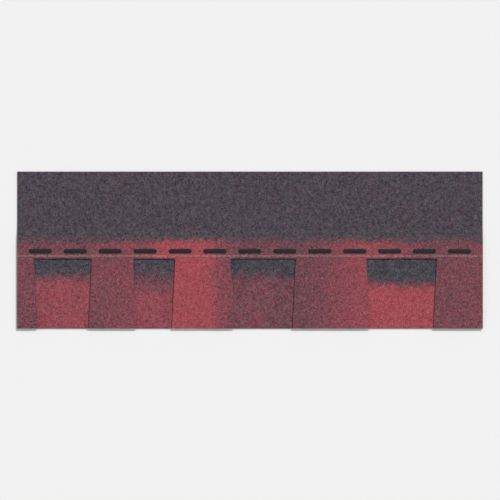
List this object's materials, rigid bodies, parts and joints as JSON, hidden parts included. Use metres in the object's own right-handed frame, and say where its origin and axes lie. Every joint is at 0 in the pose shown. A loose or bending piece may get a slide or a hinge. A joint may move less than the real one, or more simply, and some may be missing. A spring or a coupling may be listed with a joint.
{
  "type": "laminated asphalt shingle",
  "caption": "Laminated roof shingle: a granule-faced sheet with dragon-tooth tabs bonded to a backing strip, with a self-seal strip and a plain headlap.",
  "frame": {"origin": "on the floor, under the middle of the shingle's outline as it lies flat with its granule face up", "axes": "+X along the shingle, +Y from the butt edge up to the top edge (up the roof), +Z out of the granule face"},
  "size_m": [1, 0.337, 0.0068],
  "materials": {
    "granule_face": "matte",
    "backing_granules": "matte",
    "laminating_asphalt": "satin",
    "sealant_asphalt": "satin",
    "polyester_film": "gloss"
  },
  "bodies": {
    "root": {"tooth_sheet": "granule_face", "backing_strip": "backing_granules", "laminating_adhesive": "laminating_asphalt", "sealant_strip": "sealant_asphalt", "release_film": "polyester_film"}
  },
  "joints": []
}
